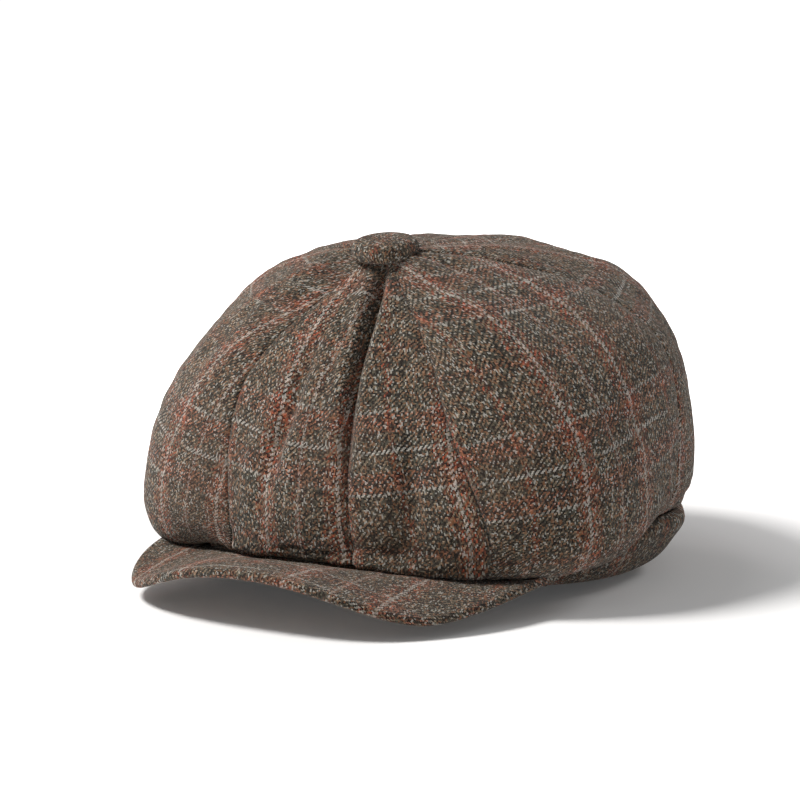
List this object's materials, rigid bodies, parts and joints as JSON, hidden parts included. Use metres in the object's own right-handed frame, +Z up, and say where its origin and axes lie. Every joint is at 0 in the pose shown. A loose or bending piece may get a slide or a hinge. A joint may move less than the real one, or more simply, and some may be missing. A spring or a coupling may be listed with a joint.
{
  "type": "newsboy cap",
  "caption": "Full soft newsboy cap in checked wool twill: gored crown, covered top button, narrow band, curved visor, satin lining and sweatband.",
  "frame": {"origin": "on the table under the middle of the cap's bounding box, standing on its band and visor", "axes": "-Y is the front, where the visor is; +X is the wearer's left; +Z is up"},
  "size_m": [0.2536, 0.2855, 0.1579],
  "materials": {
    "wool_tweed": "brushed wool twill with a rust and pale overcheck",
    "satin_lining": "satin",
    "stiff_canvas": "stiffened canvas",
    "cotton_sweatband": "matt grosgrain",
    "elastic_webbing": "knitted elastic",
    "woven_tab": "woven, blank",
    "moulded_board": "matt",
    "button_metal": "pressed",
    "button_plastic": "matt",
    "sewing_thread": "waxed thread"
  },
  "bodies": {
    "root": {"crown_front_left": "wool_tweed", "crown_front_right": "wool_tweed", "crown_side_left": "wool_tweed", "crown_side_right": "wool_tweed", "crown_rear_side_left": "wool_tweed", "crown_rear_side_right": "wool_tweed", "crown_back_left": "wool_tweed", "crown_back_right": "wool_tweed", "outer_band": "wool_tweed", "band_interlining": "stiff_canvas", "sweatband": "cotton_sweatband", "sweatband_elastic": "elastic_webbing", "size_tab": "woven_tab", "lining_front_left": "satin_lining", "lining_front_right": "satin_lining", "lining_side_left": "satin_lining", "lining_side_right": "satin_lining", "lining_rear_side_left": "satin_lining", "lining_rear_side_right": "satin_lining", "lining_back_left": "satin_lining", "lining_back_right": "satin_lining", "visor_top_cover": "wool_tweed", "visor_board": "moulded_board", "visor_under_cover": "wool_tweed", "button_cover": "wool_tweed", "button_shell": "button_metal", "button_back": "button_plastic", "button_shank": "button_metal", "button_thread": "sewing_thread"}
  },
  "joints": []
}
